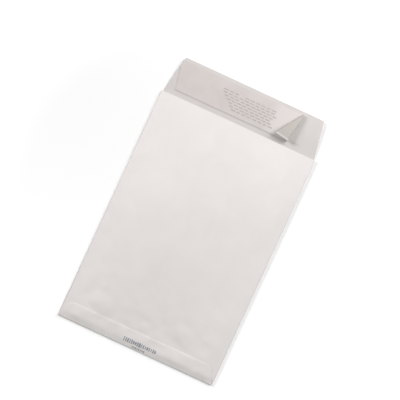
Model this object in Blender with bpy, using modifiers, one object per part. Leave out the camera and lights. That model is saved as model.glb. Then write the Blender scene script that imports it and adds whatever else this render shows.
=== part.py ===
"""White peel-and-seal pocket envelope that lies open: one folded sheet of spun-bonded fibre, the glue in
its two seams, the adhesive band on its seal flap, and the release liner, whose right end is peeled back.

X runs across the envelope, Y towards the seal flap and Z up. The front panel lies face down on Z = 0."""

from math import cos, pi, radians, sin

import bmesh
import bpy

# Driving dimensions, in metres
BODY_WIDTH = 0.162
BODY_LENGTH = 0.236
SHEET = 0.0002
LAYER_GAP = 0.0003

SEAM_TAB_WIDTH = 0.018
BACK_EDGE_SETBACK = 0.0010
SEAM_GLUE = 0.0001
GLUE_SETBACK = 0.0020

BOTTOM_FLAP_HEIGHT = 0.017
BOTTOM_FLAP_TAPER = 0.0070
BOTTOM_FLAP_CORNER = 0.0035

SEAL_FLAP_HEIGHT = 0.038
SEAL_FLAP_BASE_INSET = 0.0015
SEAL_FLAP_TAPER = 0.0070
SEAL_FLAP_CORNER = 0.0015
SEAL_FLAP_RISE = 0.0015

# How far the back panel stands open over the front panel, and where along the pocket it stands highest
POCKET_RISE = 0.0065
POCKET_PEAK = 0.78

LINER = 0.0001
LINER_LOW_MARGIN = 0.0058
LINER_HIGH_MARGIN = 0.0033
LINER_LEFT_MARGIN = 0.0107
LINER_RIGHT_MARGIN = 0.0161
LINER_SLANT = 0.0065
LINER_TRIM = 0.0003
ADHESIVE = 0.0001
ADHESIVE_INSET = 0.0015

# The peeled end: lengths of the two long edges that have come off, and the curl that turns them back
PEELED_LOW = 0.0178
PEELED_HIGH = 0.0051
CURL_RADIUS_LOW = 0.0017
CURL_RADIUS_HIGH = 0.0009
CURL_TURN = radians(162)

# Mesh fineness
BEND_STEPS = 8
CORNER_STEPS = 4
PANEL_COLUMNS = 14
TAB_COLUMNS = 3
PANEL_ROWS = 14
LINER_ROWS = 8
LINER_COLUMNS = 6
CURL_COLUMNS = 16

# Heights of the layers, each at the middle of its thickness
FRONT_Z = SHEET / 2
TAB_Z = FRONT_Z + SHEET + LAYER_GAP
SIDE_GLUE_Z = TAB_Z + SHEET / 2 + LAYER_GAP + SEAM_GLUE / 2
BACK_Z = SIDE_GLUE_Z + SEAM_GLUE / 2 + LAYER_GAP + SHEET / 2
BOTTOM_GLUE_Z = BACK_Z + SHEET / 2 + LAYER_GAP + SEAM_GLUE / 2
BOTTOM_FLAP_Z = BOTTOM_GLUE_Z + SEAM_GLUE / 2 + LAYER_GAP + SHEET / 2
ADHESIVE_Z = SHEET / 2 + LAYER_GAP + ADHESIVE / 2
LINER_Z = ADHESIVE_Z + ADHESIVE / 2 + LAYER_GAP + LINER / 2

# The folds, each a half turn of the sheet, and the lines that they leave between panels
TAB_BEND = (TAB_Z - FRONT_Z) / 2
SIDE_BEND = (BACK_Z - FRONT_Z) / 2
BOTTOM_BEND = (BOTTOM_FLAP_Z - FRONT_Z) / 2
HALF_WIDTH = BODY_WIDTH / 2
LEFT_CREASE = -HALF_WIDTH + SHEET / 2 + TAB_BEND
RIGHT_CREASE = HALF_WIDTH - SHEET / 2 - SIDE_BEND
BOTTOM_EDGE = -(BODY_LENGTH + SEAL_FLAP_HEIGHT) / 2
BOTTOM_CREASE = BOTTOM_EDGE + SHEET / 2 + BOTTOM_BEND
THROAT = BOTTOM_EDGE + BODY_LENGTH
BOTTOM_FLAP_TOP = BOTTOM_EDGE + BOTTOM_FLAP_HEIGHT
SEAL_FLAP_HALF = HALF_WIDTH - SEAL_FLAP_BASE_INSET

LINER_LOW = THROAT + LINER_LOW_MARGIN
LINER_HIGH = THROAT + SEAL_FLAP_HEIGHT - LINER_HIGH_MARGIN
LINER_LEFT = -SEAL_FLAP_HALF + LINER_LEFT_MARGIN
LINER_RIGHT = SEAL_FLAP_HALF - LINER_RIGHT_MARGIN


def spread(first, last, steps):
    """Evenly spaced values from first to last, both included."""
    return [first + (last - first) * i / steps for i in range(steps + 1)]


def pocket_rise(x, y):
    """How far the back panel, with the tab glued to it, bows up at this place."""
    along = max(0.0, (y - BOTTOM_FLAP_TOP) / (THROAT - BOTTOM_FLAP_TOP))
    return POCKET_RISE * cos(pi * x / BODY_WIDTH) * sin(pi / 2 * along / POCKET_PEAK)


def seal_flap_z(y):
    """Middle of the sheet on the seal flap, which stands up a little from its score."""
    return FRONT_Z + SEAL_FLAP_RISE * (y - THROAT) / SEAL_FLAP_HEIGHT


def liner_left(y):
    """X of the liner's left end: cut on a slant, and trimmed along the flap's side where it would stand out."""
    part = (y - LINER_LOW) / (LINER_HIGH - LINER_LOW)
    side = SEAL_FLAP_HALF - SEAL_FLAP_TAPER * (y - THROAT) / SEAL_FLAP_HEIGHT
    return max(LINER_LEFT - LINER_SLANT * part, LINER_TRIM - side)


def half_turn(radius):
    """(out, up) from the middle of a fold, from its lower panel to its upper one, ends left out."""
    angles = [pi * i / BEND_STEPS for i in range(1, BEND_STEPS)]
    return [(radius * sin(angle), -radius * cos(angle)) for angle in angles]


def front_columns():
    """X of the front panel's columns, with one at each end of the seal flap's score."""
    return [LEFT_CREASE, *spread(-SEAL_FLAP_HALF, SEAL_FLAP_HALF, PANEL_COLUMNS), RIGHT_CREASE]


def pocket_rows(low, high):
    """Y of the rows along the pocket. One lies at the bottom flap's edge, where the pocket begins to open."""
    return [low, *spread(BOTTOM_FLAP_TOP, high, PANEL_ROWS)]


def section(y):
    """The sheet cut across at y: seam tab, left fold, front panel, right fold, back panel."""
    tab = spread(-HALF_WIDTH + SEAM_TAB_WIDTH, LEFT_CREASE, TAB_COLUMNS)
    back = spread(RIGHT_CREASE, -HALF_WIDTH + BACK_EDGE_SETBACK, PANEL_COLUMNS)
    left_fold = [(LEFT_CREASE - out, FRONT_Z + TAB_BEND + up) for out, up in half_turn(TAB_BEND)]
    right_fold = [(RIGHT_CREASE + out, FRONT_Z + SIDE_BEND + up) for out, up in half_turn(SIDE_BEND)]
    points = [(x, TAB_Z + pocket_rise(x, y)) for x in tab]
    points += reversed(left_fold)
    points += [(x, FRONT_Z) for x in front_columns()]
    points += right_fold
    points += [(x, BACK_Z + pocket_rise(x, y)) for x in back]
    return [(x, y, z) for x, z in points]


def flap_rows(columns, height, taper, corner):
    """(distance from the hinge, x of each column) for a flap with slanted sides and rounded corners."""
    turns = [radians(90) * i / CORNER_STEPS for i in range(CORNER_STEPS + 1)]
    for turn in turns:
        distance = height - corner + corner * sin(turn)
        inset = taper * distance / height + corner * (1 - cos(turn))
        yield distance, [x * (1 - inset / abs(columns[0])) for x in columns]


def skin(mesh, rows):
    """Quads between rows of points. A row that is already made of vertices is used as it is."""
    made = []
    for row in rows:
        is_new = not isinstance(row[0], bmesh.types.BMVert)
        made.append([mesh.verts.new(point) for point in row] if is_new else row)
    for low, high in zip(made, made[1:]):
        for i in range(len(low) - 1):
            mesh.faces.new((low[i], low[i + 1], high[i + 1], high[i]))
    return made


def finish(name, mesh, thickness, material, parts):
    """The open surface as an object, with its real thickness half on either side."""
    bmesh.ops.recalc_face_normals(mesh, faces=mesh.faces)
    data = bpy.data.meshes.new(name)
    mesh.to_mesh(data)
    mesh.free()
    data.shade_smooth()
    data.materials.append(material)
    piece = bpy.data.objects.new(name, data)
    parts.objects.link(piece)
    wall = piece.modifiers.new("Thickness", "SOLIDIFY")
    wall.thickness = thickness
    wall.offset = 0
    wall.use_even_offset = True
    return piece


def sheet_material(name, colour, roughness):
    material = bpy.data.materials.new(name)
    material.use_nodes = True
    shader = material.node_tree.nodes["Principled BSDF"]
    shader.inputs["Base Color"].default_value = (*colour, 1)
    shader.inputs["Roughness"].default_value = roughness
    shader.inputs["Metallic"].default_value = 0
    return material


def make_sheet(material, parts):
    """The whole folded blank, as one sheet."""
    mesh = bmesh.new()
    tube = skin(mesh, [section(y) for y in pocket_rows(BOTTOM_CREASE, THROAT)])
    columns = front_columns()
    first = TAB_COLUMNS + 1 + BEND_STEPS - 1
    front = slice(first, first + len(columns))

    bend = [(BOTTOM_CREASE - out, FRONT_Z + BOTTOM_BEND + up) for out, up in half_turn(BOTTOM_BEND)]
    rows = [tube[0][front]]
    rows += [[(x, y, z) for x in columns] for y, z in bend]
    rows += [[(x, BOTTOM_CREASE, BOTTOM_FLAP_Z) for x in columns]]
    height = BOTTOM_FLAP_TOP - BOTTOM_CREASE
    for distance, xs in flap_rows(columns, height, BOTTOM_FLAP_TAPER, BOTTOM_FLAP_CORNER):
        rows.append([(x, BOTTOM_CREASE + distance, BOTTOM_FLAP_Z) for x in xs])
    skin(mesh, rows)

    rows = [tube[-1][front][1:-1]]
    flap = flap_rows(columns[1:-1], SEAL_FLAP_HEIGHT, SEAL_FLAP_TAPER, SEAL_FLAP_CORNER)
    for distance, xs in flap:
        y = THROAT + distance
        rows.append([(x, y, seal_flap_z(y)) for x in xs])
    skin(mesh, rows)
    return finish("envelope_sheet", mesh, SHEET, material, parts)


def make_side_glue(material, parts):
    """The film between the seam tab and the back panel, bowed as they are."""
    mesh = bmesh.new()
    left = LEFT_CREASE + GLUE_SETBACK
    right = -HALF_WIDTH + SEAM_TAB_WIDTH - GLUE_SETBACK
    ys = pocket_rows(BOTTOM_CREASE + GLUE_SETBACK, THROAT - GLUE_SETBACK)
    xs = spread(left, right, TAB_COLUMNS)
    skin(mesh, [[(x, y, SIDE_GLUE_Z + pocket_rise(x, y)) for x in xs] for y in ys])
    return finish("side_seam_glue", mesh, SEAM_GLUE, material, parts)


def make_bottom_glue(material, parts):
    """The film between the back panel and the bottom flap."""
    mesh = bmesh.new()
    low = BOTTOM_CREASE
    high = BOTTOM_FLAP_TOP - GLUE_SETBACK
    wide = RIGHT_CREASE - GLUE_SETBACK
    narrow = wide - BOTTOM_FLAP_TAPER
    edges = ((wide, low), (narrow, high))
    skin(mesh, [[(-half, y, BOTTOM_GLUE_Z), (half, y, BOTTOM_GLUE_Z)] for half, y in edges])
    return finish("bottom_seam_glue", mesh, SEAM_GLUE, material, parts)


def make_adhesive(material, parts):
    """The band on the seal flap, a little smaller all round than the liner that covered it."""
    mesh = bmesh.new()
    rows = []
    for y in spread(LINER_LOW + ADHESIVE_INSET, LINER_HIGH - ADHESIVE_INSET, LINER_ROWS):
        shift = LINER_SLANT * (y - LINER_LOW) / (LINER_HIGH - LINER_LOW)
        ends = (liner_left(y) + ADHESIVE_INSET, LINER_RIGHT - ADHESIVE_INSET - shift)
        rows.append([(x, y, seal_flap_z(y) + ADHESIVE_Z) for x in ends])
    skin(mesh, rows)
    return finish("seal_adhesive", mesh, ADHESIVE, material, parts)


def curled(distance, radius):
    """Where a point of the peeled end lies, this far past the curl line: (away from it, up)."""
    turn = min(distance / radius, CURL_TURN)
    beyond = max(0.0, distance - radius * CURL_TURN)
    return radius * sin(turn) + beyond * cos(turn), radius * (1 - cos(turn)) + beyond * sin(turn)


def make_liner(material, parts):
    """The strip, flat from its left end to the curl line, then curled up and back over itself."""
    mesh = bmesh.new()
    height = LINER_HIGH - LINER_LOW
    lean = PEELED_LOW - LINER_SLANT - PEELED_HIGH
    length = (lean**2 + height**2) ** 0.5
    along = (lean / length, height / length)
    across = (along[1], -along[0])
    rows = []
    for part in spread(0, 1, LINER_ROWS):
        y = LINER_LOW + height * part
        shift = LINER_SLANT * part
        right = LINER_RIGHT - shift
        peeled = PEELED_LOW + (PEELED_HIGH - PEELED_LOW) * part
        curl = right - peeled
        radius = CURL_RADIUS_LOW + (CURL_RADIUS_HIGH - CURL_RADIUS_LOW) * part
        row = [(x, y, seal_flap_z(y) + LINER_Z) for x in spread(liner_left(y), curl, LINER_COLUMNS)]
        for past in spread(0, peeled, CURL_COLUMNS)[1:]:
            slid = past * along[0]
            out, up = curled(past * along[1], radius)
            x = curl + slid * along[0] + out * across[0]
            place = y + slid * along[1] + out * across[1]
            row.append((x, place, seal_flap_z(place) + LINER_Z + up))
        rows.append(row)
    skin(mesh, rows)
    return finish("release_liner", mesh, LINER, material, parts)


def main():
    for old in list(bpy.data.objects):
        bpy.data.objects.remove(old)
    parts = bpy.data.collections.new("pocket_envelope")
    bpy.context.scene.collection.children.link(parts)
    fibre = sheet_material("white fibre sheet", (0.86, 0.85, 0.83), 0.65)
    glue = sheet_material("dried seam glue", (0.80, 0.78, 0.70), 0.45)
    tack = sheet_material("clear adhesive", (0.80, 0.78, 0.76), 0.25)
    paper = sheet_material("grey release paper", (0.68, 0.65, 0.62), 0.50)
    make_sheet(fibre, parts)
    make_side_glue(glue, parts)
    make_bottom_glue(glue, parts)
    make_adhesive(tack, parts)
    make_liner(paper, parts)


main()
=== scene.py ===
from math import ceil, cos, exp, pi, radians, sin

import bmesh
import bpy
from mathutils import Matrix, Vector, noise


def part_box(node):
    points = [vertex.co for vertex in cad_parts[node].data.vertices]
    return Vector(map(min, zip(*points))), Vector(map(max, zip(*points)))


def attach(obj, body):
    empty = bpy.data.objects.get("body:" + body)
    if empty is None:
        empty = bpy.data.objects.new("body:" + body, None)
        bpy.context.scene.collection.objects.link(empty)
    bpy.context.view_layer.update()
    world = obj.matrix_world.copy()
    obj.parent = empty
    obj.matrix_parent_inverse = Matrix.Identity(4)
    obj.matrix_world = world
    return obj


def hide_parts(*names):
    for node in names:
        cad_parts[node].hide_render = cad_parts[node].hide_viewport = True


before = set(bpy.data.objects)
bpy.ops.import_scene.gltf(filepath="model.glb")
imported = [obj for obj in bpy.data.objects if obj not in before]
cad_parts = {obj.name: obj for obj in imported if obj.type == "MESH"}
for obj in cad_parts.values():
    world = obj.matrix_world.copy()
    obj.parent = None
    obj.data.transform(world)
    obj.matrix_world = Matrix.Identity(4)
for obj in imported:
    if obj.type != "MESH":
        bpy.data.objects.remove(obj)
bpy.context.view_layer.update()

SHEET = 0.0002
LAYER_GAP = 0.0003
BODY_LENGTH = 0.236
SEAM_TAB_WIDTH = 0.018
BACK_EDGE_SETBACK = 0.0010
BOTTOM_FLAP_HEIGHT = 0.017
BOTTOM_FLAP_TAPER = 0.0070
BOTTOM_FLAP_CORNER = 0.0035
SEAL_FLAP_BASE_INSET = 0.0015
SEAL_FLAP_TAPER = 0.0070
SEAL_FLAP_CORNER = 0.0015
SEAL_FLAP_RISE = 0.0015
POCKET_RISE = 0.0065
POCKET_PEAK = 0.78
SHEET_MESH = 0.0020
BEND_STEPS = 10
CORNER_STEPS = 9
LIP_WIDTH = 0.0014
LIP_DROP = 0.00008
LIP_FADE = 0.0020
LIP_OFFSETS = [LIP_WIDTH * share for share in (0.25, 0.5, 0.75, 1.0)]
GLUED_GAP = 0.00006
FOLD_SQUASH = 0.6
FOLD_SQUASH_LENGTH = 0.007
SHARP_FROM = radians(40)
OUTSIDE_WHITE = (0.88, 0.838, 0.818)
# The inside is greyer than the outside, partly as painted shade on the seal flap near the raised throat.
INSIDE_GREY_AND_PAINTED_SHADE = (0.70, 0.662, 0.645)

# Each pattern is how fine the noise is along x, how fine along y, and which slice of the noise is read.
WAVE_HEIGHT = 0.0009
WAVE_PATTERN = (15, 10, 1.7)
DENT_HEIGHT = 0.0009
DENT_PATTERN = (105, 95, 5.2)
CREASE_HEIGHT = 0.0007
CREASE_PATTERN = (30, 42, 8.1)
CREASE_SLANT = 0.4
FLAP_WAVE_HEIGHT = 0.00025
FLAP_WAVE_PATTERN = (22, 40, 9.3)
STIFF_BY_SIDE_FOLD = 0.014
STIFF_BY_BOTTOM_FOLD = 0.006
STIFF_ABOVE_SEAM = 0.05
SEAM_DENTS_REACH = 0.03
FEWEST_DENTS = 0.2

sheet_low, sheet_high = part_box("envelope_sheet")
bottom_glue_low, bottom_glue_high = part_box("bottom_seam_glue")
half_width = (sheet_high.x - sheet_low.x) / 2
seal_flap_half = half_width - SEAL_FLAP_BASE_INSET
throat = sheet_low.y + BODY_LENGTH
flap_length = sheet_high.y - throat
bottom_flap_top = sheet_low.y + BOTTOM_FLAP_HEIGHT
front_z = SHEET / 2
tab_z = front_z + SHEET + LAYER_GAP
back_z = bottom_glue_low.z - LAYER_GAP - SHEET / 2
bottom_flap_z = back_z + SHEET + 2 * GLUED_GAP + bottom_glue_high.z - bottom_glue_low.z
tab_bend = (tab_z - front_z) / 2
side_bend = (back_z - front_z) / 2
bottom_bend = ((back_z - front_z) * FOLD_SQUASH + bottom_flap_z - back_z) / 2
left_crease = -half_width + SHEET / 2 + tab_bend
right_crease = half_width - SHEET / 2 - side_bend
bottom_crease = sheet_low.y + SHEET / 2 + bottom_bend


def ease(low, high, value):
    """0 below low, 1 above high, and a smooth climb between."""
    part = min(1.0, max(0.0, (value - low) / (high - low)))
    return part * part * (3 - 2 * part)


def spread(first, last, pitch):
    """Even stations from first to last, no further apart than pitch."""
    steps = ceil(abs(last - first) / pitch)
    return [first + (last - first) * i / steps for i in range(steps + 1)]


def ripple(x, y, pattern):
    """Smooth noise between -1 and 1 in this pattern."""
    fine_x, fine_y, noise_slice = pattern
    return noise.noise(Vector((x * fine_x, y * fine_y, noise_slice)))


def dented(x, y):
    """Slow waves and small dents of the sheet, none at the folds and most dents near the bottom seam."""
    waves = WAVE_HEIGHT * ripple(x, y, WAVE_PATTERN)
    dents = DENT_HEIGHT * (0.5 + 0.5 * ripple(x, y, DENT_PATTERN))
    dents += CREASE_HEIGHT * abs(ripple(x + y * CREASE_SLANT, y, CREASE_PATTERN))
    near_seam = exp(-(((y - bottom_flap_top) / SEAM_DENTS_REACH) ** 2))
    dents *= FEWEST_DENTS + (1 - FEWEST_DENTS) * near_seam
    free = ease(bottom_flap_top, bottom_flap_top + STIFF_ABOVE_SEAM, y)
    from_side = ease(0, STIFF_BY_SIDE_FOLD, half_width - abs(x))
    from_bottom = ease(0, STIFF_BY_BOTTOM_FOLD, y - bottom_crease)
    return from_side * from_bottom * (waves * free + dents)


def bowed(x, y):
    """Height of the back panel, and of all that is stuck to it, above where it would lie flat."""
    along = max(0.0, (y - bottom_flap_top) / (throat - bottom_flap_top))
    return POCKET_RISE * cos(pi * x / (2 * half_width)) * sin(pi / 2 * along / POCKET_PEAK) + dented(x, y)


def pressed(z, y):
    """Height z of a layer of the pocket, which is pressed together towards the bottom fold."""
    inside = min(z, back_z)
    part = min(1.0, (y - bottom_crease) / FOLD_SQUASH_LENGTH)
    share = FOLD_SQUASH + (1 - FOLD_SQUASH) * sin(pi / 2 * part)
    return front_z + (inside - front_z) * share + z - inside


def flap_z(x, y):
    """Middle of the sheet on the seal flap, which springs up from its score and is a little wavy."""
    along = (y - throat) / flap_length
    wave = FLAP_WAVE_HEIGHT * ripple(x, y, FLAP_WAVE_PATTERN)
    return front_z + SEAL_FLAP_RISE * sin(pi / 2 * along) + wave * along


def half_turn(radius):
    """(out, up) round a fold from its lower panel to its upper one, ends left out."""
    angles = [pi * i / BEND_STEPS for i in range(1, BEND_STEPS)]
    return [(radius * sin(angle), -radius * cos(angle)) for angle in angles]


def front_columns():
    """X of the front panel's columns, closer together near the ends of the flaps that hang on it."""
    inner = spread(-seal_flap_half + LIP_OFFSETS[-1], seal_flap_half - LIP_OFFSETS[-1], SHEET_MESH)
    left = [-seal_flap_half + offset for offset in (0, *LIP_OFFSETS[:-1])]
    right = [seal_flap_half - offset for offset in (*LIP_OFFSETS[-2::-1], 0)]
    return [left_crease, *left, *inner, *right, right_crease]


def section(y):
    """The sheet cut across at y: seam tab, left fold, front panel, right fold, back panel."""
    tab = spread(-half_width + SEAM_TAB_WIDTH, left_crease, SHEET_MESH)
    back = spread(right_crease, -half_width + BACK_EDGE_SETBACK, SHEET_MESH)
    points = [(x, pressed(tab_z, y) + bowed(x, y)) for x in tab]
    for out, up in reversed(half_turn(tab_bend)):
        points.append((left_crease - out, pressed(front_z + tab_bend + up, y)))
    points += [(x, front_z) for x in front_columns()]
    for out, up in half_turn(side_bend):
        points.append((right_crease + out, pressed(front_z + side_bend + up, y)))
    points += [(x, pressed(back_z, y) + bowed(x, y)) for x in back]
    return [(x, y, z) for x, z in points]


def flap_rows(columns, height, taper, corner):
    """(distance from the hinge, x of each column) for a flap with slanted sides and rounded corners."""
    distances = [(distance, 0) for distance in spread(0, height - corner, SHEET_MESH)[1:-1]]
    turns = [radians(90) * i / CORNER_STEPS for i in range(CORNER_STEPS + 1)]
    distances += [(height - corner + corner * sin(turn), corner * (1 - cos(turn))) for turn in turns]
    for distance, rounding in distances:
        inset = taper * distance / height + rounding
        yield distance, [x * (1 - inset / abs(columns[0])) for x in columns]


def skin(mesh, rows):
    """Quads between rows of points. A row that is already made of vertices is used as it is."""
    made = []
    for row in rows:
        is_new = not isinstance(row[0], bmesh.types.BMVert)
        made.append([mesh.verts.new(point) for point in row] if is_new else row)
    for low, high in zip(made, made[1:]):
        for i in range(len(low) - 1):
            mesh.faces.new((low[i], low[i + 1], high[i + 1], high[i]))
    return made


def thicken(piece, thickness):
    """Turn an open surface into a sheet of this thickness, with its last material on the lower side."""
    wall = piece.modifiers.new("Thickness", "SOLIDIFY")
    wall.thickness = thickness
    wall.offset = 0
    wall.use_even_offset = True
    wall.material_offset = len(piece.data.materials) - 1
    wall.material_offset_rim = 0
    evaluated = piece.evaluated_get(bpy.context.evaluated_depsgraph_get())
    data = bpy.data.meshes.new_from_object(evaluated)
    piece.modifiers.clear()
    piece.data = data
    data.shade_smooth()
    data.set_sharp_from_angle(angle=SHARP_FROM)


def thick_piece(name, mesh, thickness, materials):
    """A piece of this thickness on the surface in a bmesh."""
    data = bpy.data.meshes.new(name)
    mesh.to_mesh(data)
    mesh.free()
    for material in materials:
        data.materials.append(material)
    piece = bpy.data.objects.new(name, data)
    bpy.context.scene.collection.objects.link(piece)
    thicken(piece, thickness)
    return piece


class Value:
    """A node's socket that can stand in a sum: each operator on it adds the Math node for it."""

    def __init__(self, tree, socket=None):
        self.tree = tree
        self.socket = socket

    def node(self, kind, settings=None, inputs=None, output=0):
        """A new node of this kind. Its settings are made first, then its sockets are set or linked."""
        made = self.tree.nodes.new(kind)
        for name, value in (settings or {}).items():
            setattr(made, name, value)
        for name, value in (inputs or {}).items():
            if isinstance(value, Value):
                self.tree.links.new(value.socket, made.inputs[name])
            else:
                made.inputs[name].default_value = value
        return Value(self.tree, made.outputs[output] if made.outputs else None)

    def other(self, output):
        """Another output of the node that this value comes from."""
        return Value(self.tree, self.socket.node.outputs[output])

    def math(self, operation, *values):
        """What a Math node makes of these values."""
        return self.node("ShaderNodeMath", {"operation": operation}, dict(enumerate(values)))

    def __add__(self, other):
        return self.math("ADD", self, other)

    def __sub__(self, other):
        return self.math("SUBTRACT", self, other)

    def __rsub__(self, other):
        return self.math("SUBTRACT", other, self)

    def __mul__(self, other):
        return self.math("MULTIPLY", self, other)

    def __truediv__(self, other):
        return self.math("DIVIDE", self, other)

    __radd__ = __add__
    __rmul__ = __mul__

    def climb(self, low, high):
        """0 where the value is below low, 1 above high, smooth between."""
        values = {"Value": self, "From Min": low, "From Max": high}
        return self.node("ShaderNodeMapRange", {"interpolation_type": "SMOOTHSTEP"}, values)

    def tint(self, *colours):
        """The first colour where the value is 0, the second where it is 1."""
        first, second = ((*colour, 1) if isinstance(colour, tuple) else colour for colour in colours)
        # A Mix node has its two colours at inputs 6 and 7 and the mixed one at output 2.
        return self.node("ShaderNodeMix", {"data_type": "RGBA"}, {0: self, 6: first, 7: second}, 2)

    def shades(self, colour, darkest, lightest):
        """The colour times darkest where the value is 0, times lightest where it is 1."""
        dark, light = (tuple(channel * factor for channel in colour) for factor in (darkest, lightest))
        return self.tint(dark, light)

    def feed(self, node, name):
        """Link this value to a socket of a node that is already there."""
        self.tree.links.new(self.socket, node.inputs[name])


def new_material(name, roughness):
    """(material, its shader, a Value to build its nodes from)"""
    material = bpy.data.materials.new(name)
    material.use_nodes = True
    shader = material.node_tree.nodes["Principled BSDF"]
    shader.inputs["Roughness"].default_value = roughness
    return material, shader, Value(material.node_tree)


def noise_at(start, scale, detail, distortion=0.0, stretch=(1, 1, 1)):
    """Noise of this scale per metre on the object's own coordinates."""
    place = start.node("ShaderNodeTexCoord", output="Object")
    place = start.node("ShaderNodeMapping", None, {"Vector": place, "Scale": stretch})
    values = {"Vector": place, "Scale": scale, "Detail": detail, "Distortion": distortion}
    return start.node("ShaderNodeTexNoise", {"normalize": True}, values)


def own_axis(start, axis):
    """Where the shaded point lies along this axis of its own object."""
    place = start.node("ShaderNodeTexCoord", output="Object")
    return start.node("ShaderNodeSeparateXYZ", None, {0: place}, axis)


def fibre_material(name, colour):
    """Spun fibre sheet: cloudy where the web is thinner, with swirls of fine fibres that catch light."""
    material, shader, start = new_material(name, roughness=0.62)
    cloud = noise_at(start, scale=38, detail=5, distortion=0.6)
    blotch = noise_at(start, scale=9, detail=3, distortion=0.3)
    swirl = noise_at(start, scale=420, detail=4, distortion=3.5, stretch=(1, 0.45, 1))
    fibre = 1 - start.math("ABSOLUTE", swirl - 0.5).climb(0.0, 0.06)
    light = (cloud * 0.55 + blotch * 0.45).climb(0.3, 0.7)
    tone = light * 0.8 + fibre * 0.2
    tone.shades(colour, 0.965, 1.02).feed(shader, "Base Color")
    height = cloud * 0.6 + fibre * 0.25
    bump = start.node("ShaderNodeBump", None, {"Strength": 0.35, "Distance": 0.00035, "Height": height})
    bump.feed(shader, "Normal")
    gloss = 0.54 + (1 - fibre) * 0.12
    gloss.feed(shader, "Roughness")
    shader.inputs["Specular IOR Level"].default_value = 0.35
    return material


outside_fibre = fibre_material("Fibre sheet outside", OUTSIDE_WHITE)
inside_fibre = fibre_material("Fibre sheet inside with painted shade", INSIDE_GREY_AND_PAINTED_SHADE)

sheet_mesh = bmesh.new()
pocket_ys = spread(bottom_crease, bottom_flap_top, SHEET_MESH)[:-1]
pocket_ys += spread(bottom_flap_top, throat, SHEET_MESH)
tube = skin(sheet_mesh, [section(y) for y in pocket_ys])
columns = front_columns()
tube_first = len(spread(-half_width + SEAM_TAB_WIDTH, left_crease, SHEET_MESH)) + BEND_STEPS - 1
front = slice(tube_first, tube_first + len(columns))

bottom_rows = [tube[0][front]]
for out, up in half_turn(bottom_bend):
    bottom_rows.append([(x, bottom_crease - out, front_z + bottom_bend + up) for x in columns])
bottom_rows.append([(x, bottom_crease, pressed(bottom_flap_z, bottom_crease)) for x in columns])
bottom_flap_height = bottom_flap_top - bottom_crease
for distance, xs in flap_rows(columns, bottom_flap_height, BOTTOM_FLAP_TAPER, BOTTOM_FLAP_CORNER):
    y = bottom_crease + distance
    row = []
    for x in xs:
        from_edge = min(abs(xs[0]) - abs(x), bottom_flap_height - distance)
        drop = LIP_DROP * (1 - ease(0, LIP_WIDTH, from_edge)) * ease(0, LIP_FADE, distance)
        row.append((x, y, pressed(bottom_flap_z, y) + dented(x, y) - drop))
    bottom_rows.append(row)
skin(sheet_mesh, bottom_rows)

seal_rows = [tube[-1][front][1:-1]]
for distance, xs in flap_rows(columns[1:-1], flap_length, SEAL_FLAP_TAPER, SEAL_FLAP_CORNER):
    seal_rows.append([(x, throat + distance, flap_z(x, throat + distance)) for x in xs])
skin(sheet_mesh, seal_rows)
bmesh.ops.recalc_face_normals(sheet_mesh, faces=sheet_mesh.faces)

folded_sheet = thick_piece("folded_sheet", sheet_mesh, SHEET, [outside_fibre, inside_fibre])
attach(folded_sheet, "root")
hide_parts("envelope_sheet")

# Two films of hot glue hold the folded blank together: a long one between the seam tab and the back panel,
# and one under the bottom flap. They follow the bow and the dents of the sheets that they lie between.
GLUE = 0.0001
GLUE_SETBACK = 0.0020
GLUE_CREAM = (0.78, 0.75, 0.66)

glue_material, glue_shader, glue_start = new_material("Dried seam glue", roughness=0.4)
glue_tone = noise_at(glue_start, scale=120, detail=3, distortion=0.5).climb(0.35, 0.65)
glue_tone.shades(GLUE_CREAM, 1.0, 1.1).feed(glue_shader, "Base Color")

side_glue_z = tab_z + SHEET / 2 + LAYER_GAP + GLUE / 2
side_glue_xs = spread(left_crease + GLUE_SETBACK, -half_width + SEAM_TAB_WIDTH - GLUE_SETBACK, SHEET_MESH)
side_glue_ys = spread(bottom_crease + GLUE_SETBACK, throat - GLUE_SETBACK, SHEET_MESH)
side_glue_mesh = bmesh.new()
side_glue_rows = []
for y in side_glue_ys:
    side_glue_rows.append([(x, y, pressed(side_glue_z, y) + bowed(x, y)) for x in side_glue_xs])
skin(side_glue_mesh, side_glue_rows)

bottom_glue_z = (back_z + bottom_flap_z) / 2
bottom_glue_xs = spread(-bottom_glue_high.x, bottom_glue_high.x, SHEET_MESH)
bottom_glue_mesh = bmesh.new()
bottom_glue_rows = []
for y in spread(bottom_glue_low.y, bottom_glue_high.y, SHEET_MESH):
    narrowing = BOTTOM_FLAP_TAPER * (y - bottom_glue_low.y) / (bottom_glue_high.y - bottom_glue_low.y)
    glue_half = bottom_glue_high.x - narrowing
    row = [x * glue_half / bottom_glue_high.x for x in bottom_glue_xs]
    bottom_glue_rows.append([(x, y, pressed(bottom_glue_z, y) + dented(x, y)) for x in row])
skin(bottom_glue_mesh, bottom_glue_rows)

for name, mesh in (("side_seam_glue", side_glue_mesh), ("bottom_seam_glue", bottom_glue_mesh)):
    film = thick_piece(name + "_film", mesh, GLUE, [glue_material])
    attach(film, "root")
    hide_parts(name)

# The seal is a band of clear pressure-sensitive adhesive, laid on the flap in a factory and covered by the
# liner. Its film is finely ribbed along its length, and it shows where the liner is peeled off. Its tint is
# darker than the flap, partly its own and partly painted shade beside the peeled tab, fading out towards
# its right end.
LINER = 0.0001
LINER_LOW_MARGIN = 0.0058
LINER_HIGH_MARGIN = 0.0033
LINER_LEFT_MARGIN = 0.0107
LINER_RIGHT_MARGIN = 0.0161
LINER_SLANT = 0.0065
LINER_TRIM = 0.0003
ADHESIVE = 0.0001
ADHESIVE_INSET = 0.0015
ADHESIVE_COLUMNS = 80
STRIP_MESH = 0.0015
# Painted shade: the film's tint is darker beside the peeled tab and fades to the flap's colour between
# these two x's.
PAINTED_SHADE_FADES_FROM = 0.044
PAINTED_SHADE_FADES_TO = 0.060
ADHESIVE_TINT_AND_PAINTED_SHADE = (0.66, 0.61, 0.585)

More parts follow.
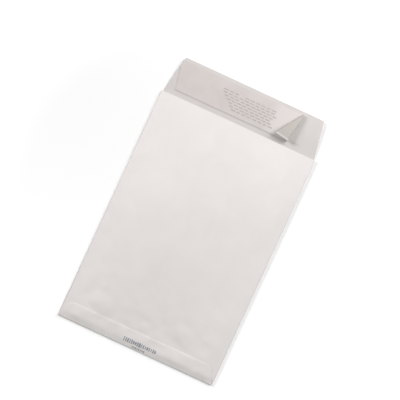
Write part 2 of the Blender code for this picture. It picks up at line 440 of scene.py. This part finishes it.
liner_low_y = throat + LINER_LOW_MARGIN
liner_high_y = sheet_high.y - LINER_HIGH_MARGIN
liner_left_low = -seal_flap_half + LINER_LEFT_MARGIN
liner_right_low = seal_flap_half - LINER_RIGHT_MARGIN
adhesive_z = SHEET / 2 + GLUED_GAP + ADHESIVE / 2
liner_z = adhesive_z + ADHESIVE / 2 + GLUED_GAP + LINER / 2


def liner_left(y):
    """X of the liner's left end, cut on a slant and trimmed where it would stand out past the flap."""
    part = (y - liner_low_y) / (liner_high_y - liner_low_y)
    side = seal_flap_half - SEAL_FLAP_TAPER * (y - throat) / flap_length
    return max(liner_left_low - LINER_SLANT * part, LINER_TRIM - side)


adhesive_material, adhesive_shader, adhesive_start = new_material("Clear adhesive", roughness=0.3)
ribs = noise_at(adhesive_start, scale=900, detail=2, distortion=0.2, stretch=(0.04, 1, 1))
smears = noise_at(adhesive_start, scale=90, detail=3, distortion=0.8).climb(0.3, 0.7)
# The painted shade on the film fades out towards its right end, where it takes the flap's colour.
painted_shade_fades = own_axis(adhesive_start, "X").climb(PAINTED_SHADE_FADES_FROM, PAINTED_SHADE_FADES_TO)
adhesive_tone = painted_shade_fades.tint(smears.shades(ADHESIVE_TINT_AND_PAINTED_SHADE, 0.97, 1.03), INSIDE_GREY_AND_PAINTED_SHADE)
adhesive_relief = {"Strength": 0.3, "Distance": 0.0001, "Height": ribs}
adhesive_bump = adhesive_start.node("ShaderNodeBump", None, adhesive_relief)
adhesive_gloss = 0.28 + ribs * 0.15
adhesive_tone.feed(adhesive_shader, "Base Color")
adhesive_bump.feed(adhesive_shader, "Normal")
adhesive_gloss.feed(adhesive_shader, "Roughness")

adhesive_mesh = bmesh.new()
adhesive_rows = []
for y in spread(liner_low_y + ADHESIVE_INSET, liner_high_y - ADHESIVE_INSET, STRIP_MESH):
    part = (y - liner_low_y) / (liner_high_y - liner_low_y)
    first = liner_left(y) + ADHESIVE_INSET
    last = liner_right_low - ADHESIVE_INSET - LINER_SLANT * part
    row = [first + (last - first) * i / ADHESIVE_COLUMNS for i in range(ADHESIVE_COLUMNS + 1)]
    adhesive_rows.append([(x, y, flap_z(x, y) + adhesive_z) for x in row])
skin(adhesive_mesh, adhesive_rows)
adhesive_band = thick_piece("adhesive_band", adhesive_mesh, ADHESIVE, [adhesive_material])
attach(adhesive_band, "root")
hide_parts("seal_adhesive")

# The release liner is a strip of paper with a silicone coat that covers the adhesive until it is used. The
# right end is peeled up and curls back on itself, more widely at the throat side. Light and shade are
# painted on the
# paper: a highlight on the face towards the peel, a highlight band along the back's low edge, and shade at
# the free end.
FREE_END_REACH = 0.0036
FREE_END_SLANT = 0.0105
PEELED_LOW = 0.0203
PEELED_HIGH = 0.0040
CURL_RADIUS_LOW = 0.0023
CURL_RADIUS_HIGH = 0.0009
CURL_TURN = radians(176)
CURL_LEAN = radians(5)
STRIP_COLUMNS = 141
STRIP_ROWS = 21
FLAT_SHARE = 0.5
RAY_START = 0.05
RAY_LENGTH = 0.1
# Sizes and colours of the painted highlights and painted shade on the liner.
EDGE_HIGHLIGHT_FROM = 0.0010
EDGE_HIGHLIGHT_TO = 0.0018
LIFTED_HIGHLIGHT_FROM = 0.018
LIFTED_HIGHLIGHT_TO = 0.032
LINER_FACE = (0.665, 0.615, 0.59)
LINER_LIFTED_AND_HIGHLIT = (0.74, 0.69, 0.672)
LINER_BACK = (0.52, 0.484, 0.449)
LOW_EDGE_HIGHLIGHT = (0.70, 0.66, 0.63)
FREE_END_SHADE_FROM = 0.0006
FREE_END_SHADE_TO = 0.0012
FREE_END_PAINTED_SHADE = (0.42, 0.38, 0.345)


def shape_tree(name, sizes):
    """A Geometry Nodes tree with these named inputs: (tree, a Value for each of them by its name)."""
    tree = bpy.data.node_groups.new(name, "GeometryNodeTree")
    for label, kind in sizes.items():
        tree.interface.new_socket(name=label, in_out="INPUT", socket_type="NodeSocket" + kind)
    tree.interface.new_socket(name="Geometry", in_out="OUTPUT", socket_type="NodeSocketGeometry")
    given = tree.nodes.new("NodeGroupInput")
    return tree, {label: Value(tree, given.outputs[label]) for label in sizes}


def point(x, y, z):
    """The three coordinates as one vector. Any of them may be a plain number."""
    known = next(value for value in (x, y, z) if isinstance(value, Value))
    return known.node("ShaderNodeCombineXYZ", None, {"X": x, "Y": y, "Z": z})


def own_place(start):
    """X of the point that the tree is working on. Its other outputs are the point's Y and Z."""
    return start.node("ShaderNodeSeparateXYZ", None, {0: start.node("GeometryNodeInputPosition")})


def top_of(surface, x, y):
    """Height of this object's upper side at x and y."""
    settings = {"transform_space": "ORIGINAL"}
    shape = surface.node("GeometryNodeObjectInfo", settings, {"Object": surface}, "Geometry")
    hit = surface.node("GeometryNodeRaycast", None, {
        "Target Geometry": shape,
        "Source Position": point(x, y, RAY_START),
        "Ray Direction": (0, 0, -1),
        "Ray Length": RAY_LENGTH,
    }, "Hit Position")
    return surface.node("ShaderNodeSeparateXYZ", None, {0: hit}, "Z")


def marked(shape, name, value):
    """The shape with this value stored at each of its points, for its material."""
    values = {"Geometry": shape, "Name": name, "Value": value}
    return shape.node("GeometryNodeStoreNamedAttribute", {"data_type": "FLOAT", "domain": "POINT"}, values)


def placed(shape, x, y, z):
    """The shape with each of its points moved to x, y and z."""
    return shape.node("GeometryNodeSetPosition", None, {"Geometry": shape, "Position": point(x, y, z)})


def finish_shape(shape, material):
    """The end of a tree: real geometry in this material."""
    real = shape.node("GeometryNodeRealizeInstances", None, {"Geometry": shape})
    done = shape.node("GeometryNodeSetMaterial", None, {"Geometry": real, "Material": material})
    shape.node("NodeGroupOutput", None, {"Geometry": done})


def grown_piece(name, tree, settings):
    """What a tree makes from these settings, as an object with a plain mesh."""
    piece = bpy.data.objects.new(name, bpy.data.meshes.new(name))
    bpy.context.scene.collection.objects.link(piece)
    maker = piece.modifiers.new(name, "NODES")
    maker.node_group = tree
    for socket in tree.interface.items_tree:
        if socket.in_out == "INPUT":
            maker[socket.identifier] = settings[socket.name]
    evaluated = piece.evaluated_get(bpy.context.evaluated_depsgraph_get())
    data = bpy.data.meshes.new_from_object(evaluated)
    piece.modifiers.clear()
    piece.data = data
    return piece


def liner_material(name, roughness, colour):
    """(material, its shader, start, tone) of calendered release paper, smooth with a slight sheen."""
    material, shader, start = new_material(name, roughness)
    grain = noise_at(start, scale=900, detail=2)
    relief = {"Strength": 0.2, "Distance": 0.00005, "Height": grain}
    start.node("ShaderNodeBump", None, relief).feed(shader, "Normal")
    clouds = noise_at(start, scale=60, detail=4, distortion=0.4).climb(0.3, 0.7)
    return material, shader, start, clouds.shades(colour, 0.975, 1.025)


def mark_of(start, name):
    """The value that marked() stored at the shape's points."""
    return start.node("ShaderNodeAttribute", {"attribute_name": name}, output="Fac")


liner_face, face_shader, face_start, face_tone = liner_material("Release paper face", 0.5, LINER_FACE)
# Painted highlight: the face is paler towards the peel, where the strip rises off the adhesive.
lifted_highlight = own_axis(face_start, "X").climb(LIFTED_HIGHLIGHT_FROM, LIFTED_HIGHLIGHT_TO)
lifted_highlight.tint(face_tone, LINER_LIFTED_AND_HIGHLIT).feed(face_shader, "Base Color")

liner_back, back_shader, back_start, back_tone = liner_material("Release paper back", 0.42, LINER_BACK)
# Painted highlight: a paler band along the low edge of the back, where the lit edge shows.
past_edge_highlight = mark_of(back_start, "from_low_edge").climb(EDGE_HIGHLIGHT_FROM, EDGE_HIGHLIGHT_TO)
back_tone = past_edge_highlight.tint(LOW_EDGE_HIGHLIGHT, back_tone)
# Painted shade: the back is darker along its free end, where the lifted end has shade under it.
away_from_free_end_shade = mark_of(back_start, "from_free_end").climb(FREE_END_SHADE_FROM, FREE_END_SHADE_TO)
away_from_free_end_shade.tint(FREE_END_PAINTED_SHADE, back_tone).feed(back_shader, "Base Color")

peel_tree, peel = shape_tree("Peeled strip", {
    "Surface": "Object",
    "Low edge": "Float",
    "High edge": "Float",
    "Left end": "Float",
    "Right end": "Float",
    "Slant": "Float",
    "Slant of free end": "Float",
    "Trimmed left end": "Float",
    "Trim slope": "Float",
    "Height on surface": "Float",
    "Peeled at low edge": "Float",
    "Peeled at high edge": "Float",
    "Radius at low edge": "Float",
    "Radius at high edge": "Float",
    "Curl turn": "Float",
    "Curl lean": "Float",
    "Paper": "Material",
})
low_edge = peel["Low edge"]
grid_sizes = {"Size X": 1.0, "Size Y": 1.0, "Vertices X": STRIP_COLUMNS, "Vertices Y": STRIP_ROWS}
paper = low_edge.node("GeometryNodeMeshGrid", None, grid_sizes)
# On this unit grid, run goes from 0 to 1 along the strip and part from 0 to 1 across it. The flat part of
# the strip takes the columns up to FLAT_SHARE, and the peeled part takes the others.
run = own_place(low_edge) + 0.5
part = own_place(low_edge).other("Y") + 0.5
rise = part * (peel["High edge"] - low_edge)
paper = marked(paper, "from_low_edge", rise)
slant = peel["Slant"] * part
peeled = part * (peel["Peeled at high edge"] - peel["Peeled at low edge"]) + peel["Peeled at low edge"]
radius = part * (peel["Radius at high edge"] - peel["Radius at low edge"]) + peel["Radius at low edge"]
curl_x = peel["Right end"] - peel["Slant of free end"] * part - peeled
trimmed_x = peel["Trimmed left end"] + peel["Trim slope"] * rise
left_x = run.math("MAXIMUM", peel["Left end"] - slant, trimmed_x)
flat_x = left_x + (curl_x - left_x) * run.math("MINIMUM", run / FLAT_SHARE, 1.0)
# past is how far a point lies past the line where the strip lifts off. The curl leans, so that one share of
# this distance goes round it and the other slides along it. After its full turn the paper goes on straight.
past = run.math("MAXIMUM", (run - FLAT_SHARE) / (1 - FLAT_SHARE), 0.0) * peeled
lean_sine = run.math("SINE", peel["Curl lean"])
lean_cosine = run.math("COSINE", peel["Curl lean"])
slid = past * lean_sine
reach = past * lean_cosine
turn = run.math("MINIMUM", reach / radius, peel["Curl turn"])
beyond = run.math("MAXIMUM", reach - radius * peel["Curl turn"], 0.0)
out = radius * run.math("SINE", turn) + beyond * run.math("COSINE", turn)
up = radius - radius * run.math("COSINE", turn) + beyond * run.math("SINE", turn)
strip_x = flat_x + slid * lean_sine + out * lean_cosine
strip_y = low_edge + rise + slid * lean_cosine - out * lean_sine
strip_z = top_of(peel["Surface"], strip_x, strip_y) + peel["Height on surface"] + up
paper = marked(paper, "from_free_end", peeled - past)
finish_shape(placed(paper, strip_x, strip_y, strip_z), peel["Paper"])

trim_slope = SEAL_FLAP_TAPER / flap_length
liner_strip = grown_piece("liner_strip", peel_tree, {
    "Surface": folded_sheet,
    "Low edge": liner_low_y,
    "High edge": liner_high_y,
    "Left end": liner_left_low,
    "Right end": liner_right_low + FREE_END_REACH,
    "Slant": LINER_SLANT,
    "Slant of free end": FREE_END_SLANT,
    "Trimmed left end": LINER_TRIM - seal_flap_half + trim_slope * LINER_LOW_MARGIN,
    "Trim slope": trim_slope,
    "Height on surface": liner_z - SHEET / 2,
    "Peeled at low edge": PEELED_LOW,
    "Peeled at high edge": PEELED_HIGH,
    "Radius at low edge": CURL_RADIUS_LOW,
    "Radius at high edge": CURL_RADIUS_HIGH,
    "Curl turn": CURL_TURN,
    "Curl lean": CURL_LEAN,
    "Paper": liner_face,
})
liner_strip.data.materials.append(liner_back)
thicken(liner_strip, LINER)
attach(liner_strip, "root")
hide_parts("release_liner")

# Two printed places are plain bars: seven faint grey lines on the liner, where a real one has directions,
# and a blue-grey mark on the bottom flap. Each bar is a film of ink that follows the surface under it.
INK = 0.00006
NOTE_CENTRE = (0.0018, 0.1177, 0.0)
NOTE_GREY = (0.50, 0.455, 0.43)
MARK_X = 0.0029
MARK_BLUE = (0.29, 0.30, 0.345)

ink_tree, ink = shape_tree("Printed bars", {
    "Surface": "Object",
    "Bars in a line": "Int",
    "Lines": "Int",
    "Line length": "Float",
    "Line pitch": "Float",
    "Bar height": "Float",
    "Lowest bar": "Float",
    "Shortest bar": "Float",
    "Left out": "Float",
    "Indent each line": "Float",
    "Centre": "Vector",
    "Seed": "Int",
    "Ink": "Material",
})


def random_number(least, most, seed, by=None):
    """A random number from least to most for each point, or, with by, for each of its numbers."""
    # A Random Value node has its least and most number at inputs 2 and 3 and the number at output 1.
    values = {2: least, 3: most, "Seed": seed}
    if by is not None:
        values["ID"] = by
    return seed.node("FunctionNodeRandomValue", {"data_type": "FLOAT"}, values, 1)


lines = ink["Lines"]
seed = ink["Seed"]
bar_pitch = ink["Line length"] / ink["Bars in a line"]
bar_points = lines.node("GeometryNodeMeshGrid", None, {
    "Size X": ink["Line length"],
    "Size Y": (lines - 1) * ink["Line pitch"],
    "Vertices X": ink["Bars in a line"],
    "Vertices Y": lines,
})
bar_points = lines.node("GeometryNodeTransform", None, {
    "Geometry": bar_points,
    "Translation": ink["Centre"],
})
line_number = lines.math("FLOORED_MODULO", lines.node("GeometryNodeInputIndex"), lines)
bar_points = lines.node("GeometryNodeSetPosition", None, {
    "Geometry": bar_points,
    "Offset": point(random_number(-0.5, 0.5, seed, line_number) * bar_pitch, 0.0, 0.0),
})
# The same kind of node gives a yes or no at output 3.
chance = {"Probability": ink["Left out"], "Seed": seed}
is_left_out = lines.node("FunctionNodeRandomValue", {"data_type": "BOOLEAN"}, chance, 3)
centre_x = lines.node("ShaderNodeSeparateXYZ", None, {0: ink["Centre"]}, "X")
line_left = centre_x - ink["Line length"] / 2 - bar_pitch
line_left = line_left + (lines - 1 - line_number) * ink["Indent each line"]
is_left_out = lines.math("MAXIMUM", is_left_out, lines.math("LESS_THAN", own_place(lines), line_left))
bar_points = lines.node("GeometryNodeDeleteGeometry", {"domain": "POINT"}, {
    "Geometry": bar_points,
    "Selection": is_left_out,
})
bar_length = random_number(ink["Shortest bar"], 1.0, seed) * bar_pitch
bar_height = random_number(ink["Lowest bar"], 1.0, seed + 1) * ink["Bar height"]
bar_cube = lines.node("GeometryNodeMeshCube", None, {"Vertices X": 5, "Vertices Y": 4, "Vertices Z": 2})
bars = lines.node("GeometryNodeInstanceOnPoints", None, {
    "Points": bar_points,
    "Instance": bar_cube,
    "Scale": point(bar_length, bar_height, INK),
})
bars = lines.node("GeometryNodeRealizeInstances", None, {"Geometry": bars})
bar_x = own_place(lines)
bar_y = bar_x.other("Y")
bar_z = top_of(ink["Surface"], bar_x, bar_y) + bar_x.other("Z")
finish_shape(placed(bars, bar_x, bar_y, bar_z), ink["Ink"])


def ink_material(name, colour):
    """Thin ink that lets a little of the surface through, so it is patchy close up."""
    material, shader, start = new_material(name, roughness=0.55)
    patches = noise_at(start, scale=700, detail=3).climb(0.35, 0.65)
    patches.shades(colour, 0.92, 1.12).feed(shader, "Base Color")
    return material


liner_note = grown_piece("liner_note", ink_tree, {
    "Surface": liner_strip,
    "Bars in a line": 10,
    "Lines": 7,
    "Line length": 0.050,
    "Line pitch": 0.0026,
    "Bar height": 0.0012,
    "Lowest bar": 0.9,
    "Shortest bar": 0.7,
    "Left out": 0.05,
    "Indent each line": 0.0026,
    "Centre": NOTE_CENTRE,
    "Seed": 4,
    "Ink": ink_material("Grey ink", NOTE_GREY),
})
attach(liner_note, "root")

mark_ink = ink_material("Blue-grey ink", MARK_BLUE)
for name, bar_count, length, height, centre_y in (
    ("seam_mark", 17, 0.0325, 0.0042, -0.1307),
    ("seam_mark_line", 8, 0.012, 0.0018, -0.1350),
):
    mark = grown_piece(name, ink_tree, {
        "Surface": folded_sheet,
        "Bars in a line": bar_count,
        "Lines": 1,
        "Line length": length,
        "Line pitch": 0.0,
        "Bar height": height,
        "Lowest bar": 0.6,
        "Shortest bar": 0.35,
        "Left out": 0.0,
        "Indent each line": 0.0,
        "Centre": (MARK_X, centre_y, 0.0),
        "Seed": 2,
        "Ink": mark_ink,
    })
    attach(mark, "root")

# The stage is a pale floor that shows white to the camera and keeps the envelope's shadow, a lamp far off
# at the picture's top left, one close by at its top right, and an even pale sky. The camera looks straight
# down, turned so that the envelope lies in the picture as in the photograph.
CAMERA_TURN = radians(24.82)
VIEW_CENTRE = (-0.0035, 0.0191)
VIEW_SPAN = 0.382
LENS_MM = 90
SENSOR_MM = 36
SKY_STRENGTH = 0.20
FLOOR_COLOUR = (0.90, 0.90, 0.90)
FLOOR_HALF = 2
FLOOR_GAP = 0.0002
FLOOR_LIFT = 0.12
LOW_FLOOR_LIFT = 0.18
LOW_FLOOR_FADES_FROM = -0.17
LOW_FLOOR_FADES_TO = 0.12
FAR_FLOOR_LIFT = 0.60
FAR_FLOOR_FROM = 0.16
FAR_FLOOR_TO = 0.34

picture_right = Vector((cos(CAMERA_TURN), sin(CAMERA_TURN), 0))
picture_up = Vector((-sin(CAMERA_TURN), cos(CAMERA_TURN), 0))

camera = bpy.data.objects.new("Camera", bpy.data.cameras.new("Camera"))
bpy.context.scene.collection.objects.link(camera)
camera.data.lens = LENS_MM
camera.data.sensor_width = SENSOR_MM
camera.data.clip_end = 10
camera.location = (*VIEW_CENTRE, VIEW_SPAN * LENS_MM / SENSOR_MM)
camera.rotation_euler = (0, 0, CAMERA_TURN)
bpy.context.scene.camera = camera
bpy.context.scene.view_settings.view_transform = "Standard"

for name, clockwise, away, height, size, power in (
    ("Far lamp", -50, 2.00, 0.95, 0.65, 33),
    ("Near lamp", 60, 0.85, 0.55, 0.70, 8.7),
):
    lamp = bpy.data.objects.new(name, bpy.data.lights.new(name, "AREA"))
    bpy.context.scene.collection.objects.link(lamp)
    lamp.data.shape = "DISK"
    lamp.data.size = size
    lamp.data.energy = power
    side = picture_up * cos(radians(clockwise)) + picture_right * sin(radians(clockwise))
    lamp.location = side * away + Vector((0, 0, height))
    lamp.rotation_euler = lamp.location.to_track_quat("Z", "Y").to_euler()

world = bpy.data.worlds.new("Pale sky")
bpy.context.scene.world = world
world.use_nodes = True
sky = Value(world.node_tree)
ray = sky.node("ShaderNodeLightPath", output="Is Camera Ray")
shown = ray + ray.other("Is Glossy Ray") + ray.other("Is Transmission Ray")
sky_strength = SKY_STRENGTH + shown * (1 - SKY_STRENGTH)
sky_strength.feed(world.node_tree.nodes["Background"], "Strength")
world.node_tree.nodes["Background"].inputs["Color"].default_value = (1, 1, 1, 1)

floor_mesh = bmesh.new()
bmesh.ops.create_grid(floor_mesh, x_segments=1, y_segments=1, size=FLOOR_HALF)
floor_data = bpy.data.meshes.new("Floor")
floor_mesh.to_mesh(floor_data)
floor_mesh.free()
floor = bpy.data.objects.new("Floor", floor_data)
floor.location.z = -FLOOR_GAP
bpy.context.scene.collection.objects.link(floor)
floor_material, floor_shader, floor_start = new_material("Pale floor", roughness=0.9)
floor_shader.inputs["Base Color"].default_value = (*FLOOR_COLOUR, 1)
floor_shader.inputs["Specular IOR Level"].default_value = 0
floor_place = floor_start.node("ShaderNodeTexCoord", output="Object")
from_middle = floor_start.node("ShaderNodeVectorMath", {"operation": "LENGTH"}, {0: floor_place}, "Value")
low_floor = 1 - own_axis(floor_start, "Y").climb(LOW_FLOOR_FADES_FROM, LOW_FLOOR_FADES_TO)
floor_lift = low_floor * LOW_FLOOR_LIFT + FLOOR_LIFT
floor_lift = floor_lift + from_middle.climb(FAR_FLOOR_FROM, FAR_FLOOR_TO) * FAR_FLOOR_LIFT
floor_seen = floor_start.node("ShaderNodeLightPath", output="Is Camera Ray") * floor_lift
floor_shader.inputs["Emission Color"].default_value = (1, 1, 1, 1)
floor_seen.feed(floor_shader, "Emission Strength")
floor_data.materials.append(floor_material)
